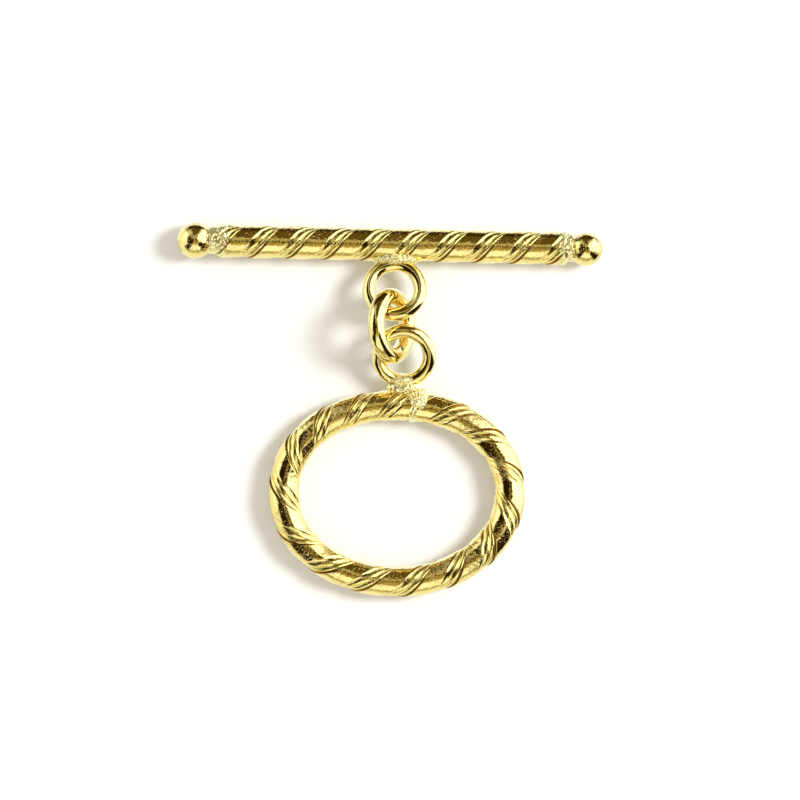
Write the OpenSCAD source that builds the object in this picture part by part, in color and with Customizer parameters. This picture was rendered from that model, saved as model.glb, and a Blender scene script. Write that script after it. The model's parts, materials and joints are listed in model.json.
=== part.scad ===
// Toggle clasp lying flat: a roped bar with balls, a roped oval ring, a wire loop soldered to each,
// and the jump ring that links the two loops. Millimetres, +Z up from the table.
// The origin is on the table under the middle of the whole clasp, and +X runs along the bar.

/* [Toggle bar] */
// Length of the bar over its two balls
bar_length = 30; // [24:0.1:38]
// Diameter of the roped rod, over its thick strands
bar_rod_d = 2.33; // [2:0.01:2.5]
// Diameter of the ball on the left end
left_ball_d = 2.54; // [2.3:0.01:3.2]
// Diameter of the ball on the right end
right_ball_d = 2.36; // [2.3:0.01:3.2]
// Diameter of the plain neck between a ball and the rod
neck_d = 1.7; // [1.3:0.01:1.9]
// Length of the neck on the left, from the ball to the full rod
left_neck_l = 0.6; // [0.4:0.01:1]
// Length of the neck on the right, from the ball to the full rod
right_neck_l = 0.3; // [0.2:0.01:1]
// Length of the rod for one full turn of its strands
bar_pitch = 5.27; // [4:0.01:8]
// Angle of the bar to the long way of the clasp, its right end towards the ring
bar_skew = 1.3; // [0:0.1:4]
// Angle by which the bar has rolled, lifting the far side of its loop
bar_roll = 12; // [8:0.5:13]

/* [Oval ring] */
// Length of the ring over its outside
ring_length = 18.1; // [15:0.1:22]
// Width of the ring over its outside
ring_width = 14.6; // [12:0.1:18]
// Diameter of the roped rod, over its thick strands
ring_rod_d = 2.15; // [1.9:0.01:2.4]
// How full the upper half of the oval is, where 2 is an ellipse
ring_fullness = 2.1; // [2:0.01:2.3]
// Length of the rod for one full turn of its strands
ring_pitch = 5.76; // [4.5:0.01:8]
// Angle of the thin wires where the rod starts at the seam, from the outer edge towards the top
ring_phase = 84; // [0:1:180]
// Distance of the seam from the top of the ring, clockwise
seam_offset = 1.2; // [0.8:0.05:2]

/* [Rope pattern] */
// Distance of a thick strand's middle from the axis, as a share of the rod's radius
lobe_out = 0.2; // [0.1:0.01:0.35]
// Half of the angle that a thick strand takes
lobe_half = 53; // [48:1:55]
// Radius of a thin wire, as a share of the rod's radius
thin_r = 0.2; // [0.16:0.01:0.21]
// How far out a thin wire reaches, as a share of the rod's radius
thin_reach = 0.9; // [0.85:0.01:0.95]
// Angle of a thin wire from the middle of its groove
thin_spread = 18.5; // [17:0.5:20]
// Distance of the creases from the axis, as a share of the rod's radius
crease_out = 0.7; // [0.6:0.01:0.75]

/* [Wire loops] */
// Outer diameter of each soldered loop
loop_d = 4.56; // [4.4:0.01:5]
// Diameter of the loops' wire
loop_wire_d = 0.96; // [0.8:0.01:1.04]
// Distance of the bar's loop from the middle of the bar
bar_loop_x = 0.41; // [-1:0.01:1]
// How far the bar's loop is sunk into the rod
bar_loop_sink = 0.22; // [0.1:0.01:0.4]
// Distance of the ring's loop from the middle of the ring
ring_loop_x = 0.49; // [0:0.01:0.6]
// Gap between the ring's loop and the rod, filled by solder
ring_loop_gap = 0.2; // [0:0.01:0.3]
// Angle by which the ring's loop is bent up
ring_loop_lift = 12.5; // [10:0.5:15]

/* [Jump ring] */
// Outer diameter of the jump ring
jump_ring_d = 5.34; // [5.2:0.01:5.8]
// Diameter of its wire
jump_wire_d = 1.2; // [1:0.01:1.28]
// Angle between the jump ring and the table
jump_tilt = 59; // [56:0.5:62]
// Turn of the jump ring on the table
jump_turn = 2; // [-2:0.5:4]
// How far the jump ring's middle lies left of the middle of the bar's loop
jump_shift = 0.21; // [0.1:0.01:0.3]

/* [Solder] */
// Half of the length, height and thickness of the pad between the bar and its loop
bar_pad = [1.6, 0.42, 0.75]; // [0.3:0.01:2]
// Half of the length, height and thickness of the neck between the ring and its loop
ring_pad = [1.15, 0.7, 0.6]; // [0.3:0.01:2]
// Half of the length, height and thickness of the bead over the ring's seam
seam_bead = [0.6, 1.15, 1.12]; // [0.5:0.01:1.3]
// How rough the solder is, as a share of its size
solder_grain = 0.05; // [0:0.01:0.1]

/* [Clearances] */
// Gap between wires that pass through each other
link_gap = 0.05; // [0.04:0.01:0.12]
// Gap between the two soldered loops, seen from above
loop_gap = 0.12; // [0.05:0.01:0.3]
// Gap between the two ends of the oval ring's rod, inside the seam's solder
seam_gap = 0.2; // [0.1:0.01:0.3]

/* [Hidden] */

gold = [1, 0.82, 0.36];
pale_gold = [1, 0.88, 0.5];

// Fineness of round surfaces, degrees of twist between rope sections, and fineness of the solder
ball_fn = 96;
ring_fn = 96;
wire_fn = 48;
rope_step = 18;
oval_steps = 360;
solder_sides = 16;
solder_rows = 8;

loop_r = (loop_d - loop_wire_d) / 2;
jump_r = (jump_ring_d - jump_wire_d) / 2;
bar_loop_reach = bar_rod_d / 2 + loop_d / 2 - bar_loop_sink;
ring_loop_reach = ring_rod_d / 2 + loop_d / 2 + ring_loop_gap;
left_ball_x = -bar_length / 2 + left_ball_d / 2;
right_ball_x = bar_length / 2 - right_ball_d / 2;
oval_a = (ring_length - ring_rod_d) / 2;
oval_b = (ring_width - ring_rod_d) / 2;

// The bar rests on its larger ball, the oval ring on its rod and the jump ring on its low side
bar_z = max(left_ball_d, right_ball_d, bar_rod_d) / 2;
ring_z = ring_rod_d / 2;
jump_z = jump_wire_d / 2 + jump_r * sin(jump_tilt);

// A wire ring is a list: its middle, the radius of its centre line, and two directions in its plane
MIDDLE = 0;
RADIUS = 1;
ACROSS = 2;
UP = 3;

// Point of a wire ring's centre line
function ring_point(ring, turn) =
    ring[MIDDLE] + ring[RADIUS] * (cos(turn) * ring[ACROSS] + sin(turn) * ring[UP]);

// Distance from a point to the centre line of a wire ring
function off_ring(point, ring) =
    let (
        axis = cross(ring[ACROSS], ring[UP]),
        way = point - ring[MIDDLE],
        height = way * axis
    )
    norm([norm(way - height * axis) - ring[RADIUS], height]);

// Least distance between the centre lines of two wire rings
function apart(one, other) = min([for (turn = [0:3:357]) off_ring(ring_point(one, turn), other)]);

// Largest value from near to far that is still clear, found by halving
function farthest(clear, near, far, steps = 14) =
    steps == 0 ? near
    : let (middle = (near + far) / 2)
    clear(middle) ? farthest(clear, middle, far, steps - 1) : farthest(clear, near, middle, steps - 1);

// A direction or place given along the bar, across it and up, on the table
function along_bar(v) = [
    v.x * cos(bar_skew) + v.y * sin(bar_skew),
    v.y * cos(bar_skew) - v.x * sin(bar_skew),
    v.z
];

// The bar's axis is over the table's zero here; its loop points to -Y, with the far side up
bar_loop_way = [0, -cos(bar_roll), sin(bar_roll)];
bar_loop = [
    along_bar([bar_loop_x, 0, bar_z] + bar_loop_reach * bar_loop_way),
    loop_r,
    along_bar([1, 0, 0]),
    along_bar(bar_loop_way)
];

// The jump ring is drawn away from the bar until it would touch the bar's loop
link_reach = (jump_wire_d + loop_wire_d) / 2 + link_gap;

function jump_at(drop) = [
    [bar_loop[MIDDLE].x - jump_shift, bar_loop[MIDDLE].y - drop, jump_z],
    jump_r,
    [cos(jump_turn) * cos(jump_tilt), sin(jump_turn) * cos(jump_tilt), -sin(jump_tilt)],
    [-sin(jump_turn), cos(jump_turn), 0]
];

jump = jump_at(farthest(
    function (drop) apart(jump_at(drop), bar_loop) > link_reach,
    jump_r,
    jump_r + loop_r
));

// The ring's loop lies round the jump ring's lower end, clear of the bar's loop, and is drawn
// to the right until it would touch the jump ring
ring_loop_y = min(
    jump[MIDDLE].y - jump_r,
    bar_loop[MIDDLE].y - loop_d - loop_gap
);

function ring_loop_at(side) = [
    [jump[MIDDLE].x + side, ring_loop_y, ring_z + ring_loop_reach * sin(ring_loop_lift)],
    loop_r,
    [1, 0, 0],
    [0, cos(ring_loop_lift), sin(ring_loop_lift)]
];

ring_loop = ring_loop_at(farthest(
    function (side) apart(ring_loop_at(side), jump) > link_reach,
    jump_r / 4,
    jump_r
));

oval_middle = [
    ring_loop[MIDDLE].x - ring_loop_x,
    ring_loop_y - ring_loop_reach * cos(ring_loop_lift) - oval_b,
    ring_z
];

// Middle of the whole clasp, which every piece is moved by
clasp_left = min(along_bar([left_ball_x, 0, 0]).x - left_ball_d / 2, oval_middle.x - ring_length / 2);
clasp_right = max(along_bar([right_ball_x, 0, 0]).x + right_ball_d / 2, oval_middle.x + ring_length / 2);
clasp_top = along_bar([left_ball_x, 0, 0]).y + left_ball_d / 2;
clasp_bottom = oval_middle.y - ring_width / 2;
clasp_middle = [(clasp_left + clasp_right) / 2, (clasp_top + clasp_bottom) / 2, 0];

// Angles round one half of the rope section where it has a point, from the middle of a thick strand
thin_points = [-0.35, 0.35] * thin_spread;
HALF_SECTION = [
    for (share = [-0.91, -0.55, -0.18, 0.18, 0.55, 0.91]) share * lobe_half,
    lobe_half + 2,
    for (off = thin_points) 90 - thin_spread + off,
    90,
    for (off = thin_points) 90 + thin_spread + off,
    178 - lobe_half
];
SECTION = [for (half = [0, 180], angle = HALF_SECTION) half + angle];

// Outline of a circle of radius r whose middle is out from the axis, at an angle from its middle
function arc_share(angle, out, r) = out * cos(angle) + sqrt(r * r - pow(out * sin(angle), 2));

// Radius of the rope section at an angle, as a share of the rod's radius
function rope_share(angle) =
    let (
        off_lobe = (angle + 90) % 180 - 90,
        off_thin = abs(90 - abs(off_lobe)) - thin_spread,
        thin_out = thin_reach - thin_r
    )
    abs(off_lobe) < lobe_half ? arc_share(off_lobe, lobe_out, 1 - lobe_out)
    : abs(thin_out * sin(off_thin)) < thin_r ? max(crease_out, arc_share(off_thin, thin_out, thin_r))
    : crease_out;

// Points of a rod's section turned by an angle, from a plain round neck at 0 to the full rope at 1
function rope_section(rod_d, turn, neck = 0, rope = 1) = [
    for (at = SECTION)
        let (r = neck / 2 * (1 - rope) + rod_d / 2 * rope_share(at) * rope)
        r * [cos(at + turn), sin(at + turn)]
];

// Closed skin over rows of points, with a middle point for each end
module skin(rows, first, last) {
    sides = len(rows[0]);
    final = (len(rows) - 1) * sides;
    points = [for (row = rows) each row, first, last];
    polyhedron(points, [
        for (row = [0:sides:final - sides], side = [0:sides - 1])
            let (a = row + side, b = row + (side + 1) % sides)
            each [[a, b + sides, b], [a, a + sides, b + sides]],
        for (side = [0:sides - 1])
            each [
                [len(points) - 2, side, (side + 1) % sides],
                [len(points) - 1, final + (side + 1) % sides, final + side]
            ]
    ]);
}

// How the rod rounds down to a neck: share of the neck's length, share of the full rope
SHOULDER = [
    [0, 0],
    [0.5, 0.5],
    [0.8, 0.85]
];

// The rod along X, running on inside both balls
module bar_rod() {
    left_start = left_ball_x + left_ball_d / 2;
    right_start = right_ball_x - right_ball_d / 2;
    left_full = left_start + left_neck_l;
    full_l = right_start - right_neck_l - left_full;
    steps = ceil(full_l / bar_pitch * 360 / rope_step);
    stations = [
        [left_ball_x, 0],
        for (row = SHOULDER) [left_start + row[0] * left_neck_l, row[1]],
        for (step = [0:steps]) [left_full + full_l * step / steps, 1],
        for (i = [len(SHOULDER) - 1:-1:0])
            [right_start - SHOULDER[i][0] * right_neck_l, SHOULDER[i][1]],
        [right_ball_x, 0]
    ];
    rows = [
        for (station = stations)
            [
                for (p = rope_section(bar_rod_d, 90 - 360 * station[0] / bar_pitch, neck_d, station[1]))
                    [station[0], p.x, p.y]
            ]
    ];
    skin(rows, [left_ball_x, 0, 0], [right_ball_x, 0, 0]);
}

// Point of the oval's centre line, at an angle clockwise from its top
function oval(turn) =
    let (power = cos(turn) > 0 ? 2 / ring_fullness : 1)
    [
        oval_a * sign(sin(turn)) * pow(abs(sin(turn)), power),
        oval_b * sign(cos(turn)) * pow(abs(cos(turn)), power),
        0
    ];

// Lengths along the oval for two rounds, each with the angle that it reaches
oval_table = [
    for (
        step = 0, length = 0;
        step <= 2 * oval_steps;
        length = length + norm(oval((step + 1) * 360 / oval_steps) - oval(step * 360 / oval_steps)),
        step = step + 1
    )
        [length, step * 360 / oval_steps]
];
oval_length = oval_table[oval_steps][0];

// Place and outward direction on the oval at a length along it
function oval_place(along) = oval(lookup(along, oval_table));
function oval_out(along) =
    let (ahead = oval_place(along + 0.05) - oval_place(along - 0.05))
    [-ahead.y, ahead.x, 0] / norm(ahead);

// The rod bent to the oval, from one side of the seam round to the other
module ring_rod() {
    start = seam_offset + seam_gap / 2;
    run = oval_length - seam_gap;
    steps = ceil(run / ring_pitch * 360 / rope_step);
    rows = [
        for (step = [0:steps])
            let (
                along = start + run * step / steps,
                turn = ring_phase - 90 - 360 * (along - start) / ring_pitch
            )
            [for (p = rope_section(ring_rod_d, turn)) oval_place(along) + p.x * oval_out(along) + [0, 0, p.y]]
    ];
    skin(rows, oval_place(start), oval_place(start + run));
}

// A round wire ring flat on its own plane
module wire_ring(d, wire_d) {
    rotate_extrude($fn = ring_fn)
        translate([(d - wire_d) / 2, 0])
            circle(d = wire_d, $fn = wire_fn);
}

// A lump of rough solder, long along X
module solder(size) {
    rows = [
        for (row = [1:solder_rows - 1])
            let (lat = -90 + 180 * row / solder_rows)
            [
                for (side = [0:solder_sides - 1])
                    let (
                        lon = 360 * side / solder_sides,
                        r = 1 + solder_grain * sin(5 * lon + 130 * row) * cos(3 * lon + 200 * row)
                    )
                    [size.x * sin(lat), size.y * cos(lat) * cos(lon) * r, size.z * cos(lat) * sin(lon) * r]
            ]
    ];
    skin(rows, [-size.x, 0, 0], [size.x, 0, 0]);
}

// Rod, balls, loop and pad, soldered into one piece
module toggle_bar() {
    pad_reach = (bar_rod_d / 2 + bar_loop_reach - loop_d / 2) / 2;
    color(gold)
        translate([0, 0, bar_z] - clasp_middle)
            rotate([0, 0, -bar_skew]) {
                bar_rod();
                translate([left_ball_x, 0, 0]) sphere(d = left_ball_d, $fn = ball_fn);
                translate([right_ball_x, 0, 0]) sphere(d = right_ball_d, $fn = ball_fn);
                translate([bar_loop_x, 0, 0])
                    rotate([-bar_roll, 0, 0]) {
                        translate([0, -bar_loop_reach, 0]) wire_ring(loop_d, loop_wire_d);
                        translate([0, -pad_reach, 0]) solder(bar_pad);
                    }
            }
}

// The plain ring that passes through both loops
module jump_ring() {
    color(pale_gold)
        translate(jump[MIDDLE] - clasp_middle)
            rotate([0, jump_tilt, jump_turn])
                wire_ring(jump_ring_d, jump_wire_d);
}

// Oval rod, seam bead, loop and neck, soldered into one piece
module toggle_ring() {
    neck_reach = ring_loop_reach - loop_d / 2 + loop_wire_d / 4;
    seam_out = oval_out(seam_offset);
    bead_up = max(0, seam_bead.z * (1 + solder_grain) - ring_rod_d / 2);
    color(gold)
        translate(oval_middle - clasp_middle) {
            ring_rod();
            translate(oval_place(seam_offset) + [0, 0, bead_up])
                rotate([0, 0, atan2(-seam_out.x, seam_out.y)])
                    solder(seam_bead);
            translate([ring_loop_x, oval_b, 0])
                rotate([ring_loop_lift, 0, 0]) {
                    translate([0, ring_loop_reach, 0]) wire_ring(loop_d, loop_wire_d);
                    translate([0, neck_reach, 0]) solder(ring_pad);
                }
        }
}

toggle_bar();
jump_ring();
toggle_ring();
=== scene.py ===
"""Looks of a gold toggle clasp that lies flat: a roped bar, a roped oval ring and the links between.

Every piece is made in millimetres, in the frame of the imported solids, and turned to metres as its
mesh is made. The bar and the oval ring are each one skin swept along the rod, with wire loops and
grainy solder fused on, and the jump ring is one bent wire.
"""
from __future__ import annotations

import json
import logging
import math
from dataclasses import dataclass, field
from enum import Enum
from typing import Mapping, Sequence

import bpy
import bmesh
import numpy as np
from mathutils import Matrix, Vector, noise

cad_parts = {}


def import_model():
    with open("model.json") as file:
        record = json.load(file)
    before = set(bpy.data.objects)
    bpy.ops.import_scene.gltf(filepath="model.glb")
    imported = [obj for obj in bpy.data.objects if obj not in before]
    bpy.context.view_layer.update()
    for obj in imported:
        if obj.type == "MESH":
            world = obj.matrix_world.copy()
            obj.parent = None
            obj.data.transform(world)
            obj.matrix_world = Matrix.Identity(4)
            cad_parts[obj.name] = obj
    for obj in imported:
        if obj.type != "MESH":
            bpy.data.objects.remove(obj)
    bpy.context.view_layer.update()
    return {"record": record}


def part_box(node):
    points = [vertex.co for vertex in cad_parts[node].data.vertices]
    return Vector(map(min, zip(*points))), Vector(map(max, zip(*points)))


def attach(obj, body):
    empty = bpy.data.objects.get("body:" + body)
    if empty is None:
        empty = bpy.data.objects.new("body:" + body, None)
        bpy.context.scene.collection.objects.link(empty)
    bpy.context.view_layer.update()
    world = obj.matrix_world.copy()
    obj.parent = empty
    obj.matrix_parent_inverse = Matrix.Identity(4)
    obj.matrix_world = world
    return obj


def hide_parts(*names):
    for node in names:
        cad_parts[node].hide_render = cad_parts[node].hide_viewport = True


MM = 0.001
# mark of painted shade: how much the creases and the hollows between solder grains are darkened
PAINTED_SHADE = "tarnish"
SATIN = "satin"
MARKS = (PAINTED_SHADE, SATIN)
SKIN = "skin"
SHARP_FROM = 42.0  # how far a skin bends at an edge that stays sharp, in degrees
LOG = logging.getLogger("toggle_clasp")


class Node(Enum):
    """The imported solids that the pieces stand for."""

    BAR = "toggle_bar"
    LINK = "jump_ring"
    OVAL = "toggle_ring"


class Slot(Enum):
    """The record's material slots."""

    GOLD = "gold"
    WIRE = "wire_gold"


class Skin(Enum):
    """Kinds of surface on a fused piece, which are also its material slots."""

    ROPE = 0
    WIRE = 1
    SOLDER = 2


def smooth_step(x: np.ndarray, low: float, high: float) -> np.ndarray:
    """Rises smoothly from 0 at low to 1 at high, or falls where high is below low."""
    t = np.clip((x - low) / (high - low), 0.0, 1.0)
    return t * t * (3.0 - 2.0 * t)


def smooth_max(a: np.ndarray, b: np.ndarray, blend: float) -> np.ndarray:
    """The larger of two radii, with a fillet where they meet.

    Args:
        a: radii in millimetres.
        b: radii in millimetres.
        blend: how far apart the two may be and still be filleted, in millimetres.

    Returns:
        The filleted larger radii.
    """
    near = np.maximum(blend - np.abs(a - b), 0.0) / blend
    return np.maximum(a, b) + near * near * blend / 4.0


def grains(points: np.ndarray, size: float, seed: float) -> np.ndarray:
    """Height of small round grains that lie packed side by side.

    Args:
        points: places in millimetres, one a row.
        size: how wide a grain is, in millimetres.
        seed: shifts the pattern.

    Returns:
        A height from 0, between grains, to 1, on top of one, for each point.
    """
    shift = Vector((seed, 2.0 * seed, 3.0 * seed))
    near = [noise.voronoi(Vector(p) / size + shift)[0][0] for p in points]
    return np.clip(1.0 - 1.5 * np.square(near), 0.0, 1.0)


def swells(points: np.ndarray, size: float, seed: float) -> np.ndarray:
    """Slow waves from -1 to 1 at places given in millimetres, as a hand made surface has."""
    shift = Vector((seed, 2.0 * seed, 3.0 * seed))
    return np.array([noise.noise(Vector(p) / size + shift) for p in points])


@dataclass(frozen=True)
class RopeSection:
    """Outline of the roped rod: two thick strands, and two thin wires in each groove between them.

    Each strand ends in a sharp edge on one side and rolls off on the other, where a wider and a
    narrower wire lean on it. Lengths are shares of the rod's radius, and angles are in degrees from
    a strand's middle. Each crease has its angle, how far its painted shade reaches from it, and how
    dark that painted shade is.
    """

    edge_at: float = -41.0
    edge_r: float = 0.06
    roll_at: float = 46.0
    roll_r: float = 0.4
    wire_at: tuple[float, float] = (82.0, 119.5)
    wire_out: tuple[float, float] = (0.5, 0.62)
    wire_r: tuple[float, float] = (0.45, 0.31)
    wire_half: float = 17.5
    crease_r: float = 0.68
    # painted shade in each crease: its angle, how far it reaches and how dark it is
    creases: tuple[tuple[float, float, float], ...] = (
        (65.9, 2.5, 0.15),
        (104.8, 3.0, 0.65),
        (135.2, 4.0, 0.85),
    )
    satin_edge: float = 3.0
    strand_steps: int = 22
    roll_steps: int = 14
    edge_steps: int = 5
    wire_steps: int = 11

    def arc(self, angle: np.ndarray, out: float, r: float) -> np.ndarray:
        """Outline of a circle whose middle is out from the axis, at angles from its middle.

        Args:
            angle: degrees from the line to the circle's middle.
            out: distance of that middle from the axis.
            r: radius of the circle.

        Returns:
            Distance of the outline from the axis, or 0 where the circle isn't met.
        """
        turn = np.radians(angle)
        inside = r * r - np.square(out * np.sin(turn))
        return np.where(inside >= 0.0, out * np.cos(turn) + np.sqrt(np.maximum(inside, 0.0)), 0.0)

    def start(self) -> float:
        """Angle of the foot of a strand's sharp edge."""
        return self.edge_at - math.degrees(math.asin(self.edge_r / (1.0 - self.edge_r)))

    def share(self, angle: np.ndarray) -> np.ndarray:
        """Works out the outline of the whole section.

        Args:
            angle: degrees from a thick strand's middle.

        Returns:
            Radius of the rod at each angle, as a share of its full radius.
        """
        start = self.start()
        off = (angle - start) % 180.0 + start
        edge = self.arc(off - self.edge_at, 1.0 - self.edge_r, self.edge_r)
        roll = self.arc(off - self.roll_at, 1.0 - self.roll_r, self.roll_r)
        strand = np.where(off < self.edge_at, edge, np.where(off < self.roll_at, 1.0, roll))
        thin = zip(self.wire_at, self.wire_out, self.wire_r)
        wires = [self.arc(off - at, out, r) for at, out, r in thin]
        return np.maximum.reduce([strand, *wires, np.full_like(off, self.crease_r)])

    def tarnish(self, angle: np.ndarray) -> np.ndarray:
        """Works out the painted shade that darkens the gold in and beside the creases.

        Args:
            angle: degrees from a thick strand's middle.

        Returns:
            The darkness at each angle, from 0 to 1.
        """
        dark = np.zeros_like(angle)
        for at, reach, depth in self.creases:
            away = np.abs((angle - at + 90.0) % 180.0 - 90.0)
            dark = np.maximum(dark, depth * smooth_step(away, reach, 0.3 * reach))
        return dark

    def satin(self, angle: np.ndarray) -> np.ndarray:
        """Works out where the thin wires lie.

        Args:
            angle: degrees from a thick strand's middle.

        Returns:
            1 on the thin wires and 0 on the strands, for each angle.
        """
        first, last = self.creases[0][0], self.creases[-1][0]
        away = np.abs((angle - (first + last) / 2.0 + 90.0) % 180.0 - 90.0)
        return smooth_step(away, (last - first) / 2.0, (last - first) / 2.0 - self.satin_edge)

    def angles(self) -> np.ndarray:
        """Spreads the mesh's points round the rod, close together at the creases.

        Returns:
            Their angles in degrees, once round the whole rod.
        """
        start = self.start()
        ease = np.sin(np.linspace(0.0, 0.5 * np.pi, self.edge_steps))
        fan = -np.cos(np.linspace(0.0, np.pi, self.wire_steps))
        foot = [start + 179.7]
        edge = self.edge_at + (start - self.edge_at) * ease
        strand = np.linspace(self.edge_at, self.roll_at, self.strand_steps)
        first = self.wire_at[0] - self.wire_half
        roll = np.linspace(self.roll_at, first, self.roll_steps)
        wires = [at + self.wire_half * fan for at in self.wire_at]
        one = np.unique(np.round(np.concatenate([edge, strand, roll, *wires, foot]), 3))
        return np.concatenate([one, one + 180.0])


def build_mesh(
    name: str,
    points: np.ndarray,
    faces: Sequence[Sequence[int]],
    skin: Skin,
    marks: Mapping[str, np.ndarray] | None = None,
) -> bpy.types.Mesh:
    """Makes a closed mesh in metres.

    Args:
        name: name of the mesh.
        points: places in millimetres, one a row.
        faces: corners of each face, as rows of points.
        skin: which kind of surface its faces are.
        marks: by name, the painted shade and the satin of the metal at each point, from 0 to 1.

    Returns:
        The new mesh, with its faces turned outward.
    """
    mesh = bpy.data.meshes.new(name)
    mesh.from_pydata((points * MM).tolist(), [], faces)
    work = bmesh.new()
    work.from_mesh(mesh)
    bmesh.ops.recalc_face_normals(work, faces=work.faces)
    work.to_mesh(mesh)
    work.free()
    kind = mesh.attributes.new(SKIN, "INT", "FACE")
    kind.data.foreach_set("value", [skin.value] * len(mesh.polygons))
    for mark in MARKS:
        mesh.attributes.new(mark, "FLOAT", "POINT")
    for mark, values in (marks or {}).items():
        mesh.attributes[mark].data.foreach_set("value", values)
    return mesh


def swept(
    name: str,
    rows: np.ndarray,
    ends: np.ndarray | None,
    skin: Skin,
    marks: Mapping[str, np.ndarray] | None = None,
) -> bpy.types.Mesh:
    """Skins rows of points.

    Args:
        name: name of the mesh.
        rows: array of rows, places round each row, and the three coordinates in millimetres.
        ends: the two end points that close the skin, or None where the last row meets the first.
        skin: which kind of surface the faces are.
        marks: by name, the painted shade and the satin of the metal at each place of the rows.

    Returns:
        The closed mesh.
    """
    count, around = rows.shape[:2]
    last = count if ends is None else count - 1
    faces = []
    for row in range(last):
        a, b = row * around, (row + 1) % count * around
        faces += [(a + i, a + (i + 1) % around, b + (i + 1) % around, b + i) for i in range(around)]
    points = rows.reshape(-1, 3)
    spare = np.zeros(0 if ends is None else 2)
    flat = {mark: np.concatenate([values.reshape(-1), spare]) for mark, values in (marks or {}).items()}
    if ends is not None:
        first, final = len(points), (count - 1) * around
        points = np.vstack([points, ends])
        faces += [(first, (i + 1) % around, i) for i in range(around)]
        faces += [(first + 1, final + i, final + (i + 1) % around) for i in range(around)]
    return build_mesh(name, points, faces, skin, flat)


def fused(name: str, meshes: Sequence[bpy.types.Mesh]) -> bpy.types.Object:
    """Joins closed meshes into one closed body, smoothly shaded but for its sharp edges.

    Args:
        name: name of the new piece.
        meshes: the closed meshes, of which each overlaps the body so far.

    Returns:
        The new object, linked to the scene, with its place in its mesh.
    """
    scene = bpy.context.scene.collection
    piece = bpy.data.objects.new(name, meshes[0])
    scene.objects.link(piece)
    tools = [bpy.data.objects.new(mesh.name, mesh) for mesh in meshes[1:]]
    for tool in tools:
        scene.objects.link(tool)
        union = piece.modifiers.new(tool.name, "BOOLEAN")
        union.operation = "UNION"
        union.solver = "MANIFOLD"
        union.object = tool
    if tools:
        graph = bpy.context.evaluated_depsgraph_get()
        whole = bpy.data.meshes.new_from_object(piece.evaluated_get(graph))
        piece.modifiers.clear()
        piece.data = whole
        whole.name = name
    for tool in tools:
        bpy.data.objects.remove(tool)
    mesh = piece.data
    mesh.polygons.foreach_set("use_smooth", [True] * len(mesh.polygons))
    mesh.set_sharp_from_angle(angle=math.radians(SHARP_FROM))
    mesh.update()
    return piece


@dataclass(frozen=True)
class WireRing:
    """A round wire bent to a ring, with the slight waves of a wire bent by hand."""

    middle: Vector
    across: Vector
    up: Vector
    d: float
    wire_d: float
    wave: float = 0.006
    wave_length: float = 1.1
    seed: float = 1.0
    steps: int = 176
    sides: int = 40

    @classmethod
    def at_foot(cls, foot: Matrix, reach: float, d: float, wire_d: float, seed: float) -> WireRing:
        """Places a soldered loop.

        Args:
            foot: frame at the foot of the loop, whose X and Y the loop lies along.
            reach: distance of the loop's middle along Y, which may be negative.
            d: how wide the loop is over its wire.
            wire_d: how thick the wire is.
            seed: shifts the wire's slight waves.

        Returns:
            The loop.
        """
        turn = foot.to_3x3()
        across = turn @ Vector((1.0, 0.0, 0.0))
        up = turn @ Vector((0.0, math.copysign(1.0, reach), 0.0))
        return cls(foot @ Vector((0.0, reach, 0.0)), across, up, d, wire_d, seed=seed)

    def mesh(self, name: str, skin: Skin) -> bpy.types.Mesh:
        """Makes the ring's mesh.

        Args:
            name: name of the mesh.
            skin: which kind of surface its faces are.

        Returns:
            The closed mesh.
        """
        turn = np.linspace(0.0, 2.0 * np.pi, self.steps, endpoint=False)[:, None]
        side = np.linspace(0.0, 2.0 * np.pi, self.sides, endpoint=False)[None, :]
        across, up = np.array(self.across), np.array(self.up)
        axis = np.cross(across, up)
        out = np.cos(turn)[..., None] * across + np.sin(turn)[..., None] * up
        way = np.cos(side)[..., None] * out + np.sin(side)[..., None] * axis
        spine = np.array(self.middle) + (self.d - self.wire_d) / 2.0 * out
        plain = spine + self.wire_d / 2.0 * way
        wave = swells(plain.reshape(-1, 3), self.wave_length, self.seed).reshape(plain.shape[:2])
        rows = spine + (self.wire_d / 2.0 + self.wave * (wave - 0.5))[..., None] * way
        return swept(name, rows, None, skin)


@dataclass(frozen=True)
class SolderLump:
    """A lump of grainy solder: an egg along X, turned into place."""

    place: Matrix
    size: Vector
    grain: float = 0.13
    rise: float = 0.05
    swell: float = 0.05
    swell_length: float = 0.45
    # how dark the painted shade in the hollows between grains is
    dark: float = 0.15
    seed: float = 3.0
    fineness: int = 6

    def mesh(self, name: str) -> bpy.types.Mesh:
        """Makes the lump's mesh, with grains standing out of it.

        Args:
            name: name of the mesh.

        Returns:
            The closed mesh.
        """
        ball = bmesh.new()
        bmesh.ops.create_icosphere(ball, subdivisions=self.fineness, radius=1.0)
        ways = np.array([v.co for v in ball.verts])
        faces = [[v.index for v in face.verts] for face in ball.faces]
        ball.free()
        size = np.array(self.size)
        plain = ways * size
        slow = swells(plain, self.swell_length, self.seed)
        fine = grains(plain, self.grain, self.seed)
        normal = ways / size
        normal /= np.linalg.norm(normal, axis=1)[:, None]
        plain = plain + (self.swell * slow + self.rise * (fine - 0.5))[:, None] * normal
        turned = plain @ np.array(self.place.to_3x3()).T + np.array(self.place.translation)
        # painted shade in the hollows between the grains
        marks = {PAINTED_SHADE: self.dark * np.square(1.0 - fine)}
        return build_mesh(name, turned, faces, Skin.SOLDER, marks)


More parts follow.
